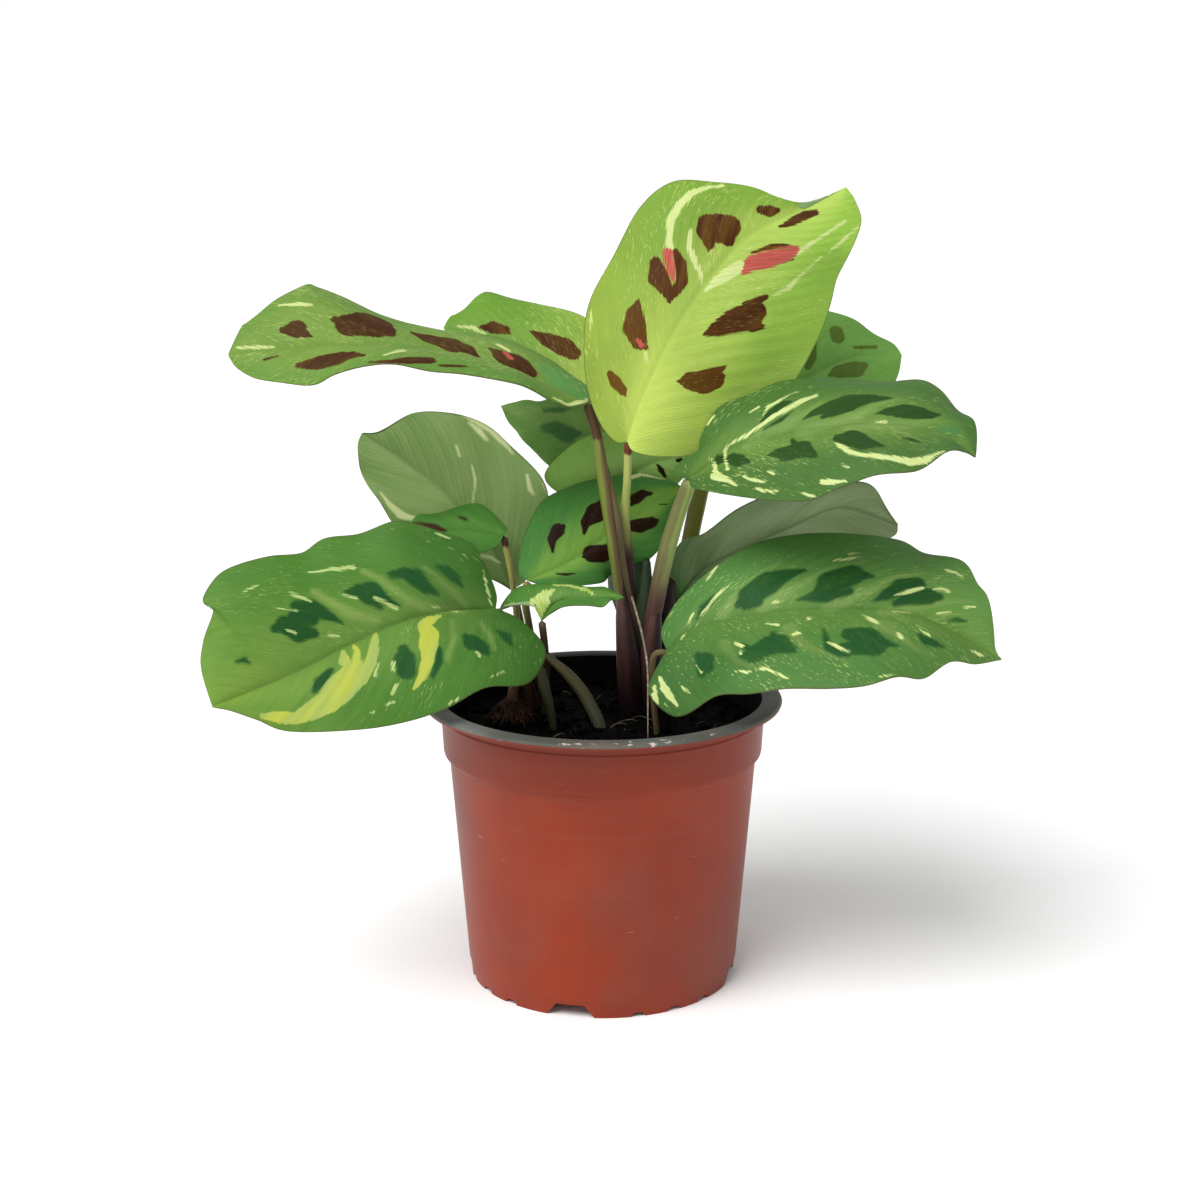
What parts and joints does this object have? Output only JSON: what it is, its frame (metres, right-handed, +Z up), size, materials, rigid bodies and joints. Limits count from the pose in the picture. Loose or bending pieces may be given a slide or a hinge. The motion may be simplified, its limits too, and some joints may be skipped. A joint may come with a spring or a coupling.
{
  "type": "potted prayer plant maranta",
  "caption": "Potted prayer plant: broad patterned leaves on slender stalks, standing in soil in a tapered terracotta-coloured nursery pot.",
  "frame": {"origin": "centre of the pot's foot, on the surface it stands on", "axes": "+Z up, -Y towards the side the picture shows, +X to that viewer's right"},
  "size_m": [0.2517, 0.1238, 0.2653],
  "materials": {
    "pot": "thin moulded polypropylene, terracotta outside and black inside, satin sheen",
    "soil": "dark crumbly peat-based potting soil",
    "leaf_lime": "young lime-green leaf with dark brown spots, satin upper face",
    "leaf_mid": "mid-green leaf with near-black spots, satin upper face",
    "leaf_deep": "dark green leaf with darker green spots and cream flecks, satin upper face",
    "leaf_grey": "grey-green leaf underside with fine side veins, matt",
    "stalk": "smooth green to olive leaf stalk",
    "sheath": "dark purple-brown sheath, faintly ribbed",
    "root": "fibrous reddish-brown root"
  },
  "bodies": {
    "root": {"pot": "pot", "soil": "soil", "blade_top": "leaf_lime", "petiole_top": "stalk", "blade_left_high": "leaf_lime", "petiole_left_high": "stalk", "blade_left_back_high": "leaf_lime", "petiole_left_back_high": "stalk", "blade_right_back_high": "leaf_mid", "petiole_right_back_high": "stalk", "blade_right_mid": "leaf_deep", "petiole_right_mid": "stalk", "blade_right_low": "leaf_deep", "petiole_right_low": "stalk", "blade_right_under": "leaf_grey", "petiole_right_under": "stalk", "blade_left_low": "leaf_deep", "petiole_left_low": "stalk", "blade_left_mid_small": "leaf_deep", "petiole_left_mid_small": "stalk", "blade_left_under": "leaf_grey", "petiole_left_under": "stalk", "blade_centre": "leaf_mid", "petiole_centre": "stalk", "blade_back_centre": "leaf_deep", "petiole_back_centre": "stalk", "blade_back_low": "leaf_mid", "petiole_back_low": "stalk", "blade_low_small": "leaf_deep", "petiole_low_small": "stalk", "stem_sheath": "sheath", "runner": "stalk", "root_stub": "root"}
  },
  "joints": []
}
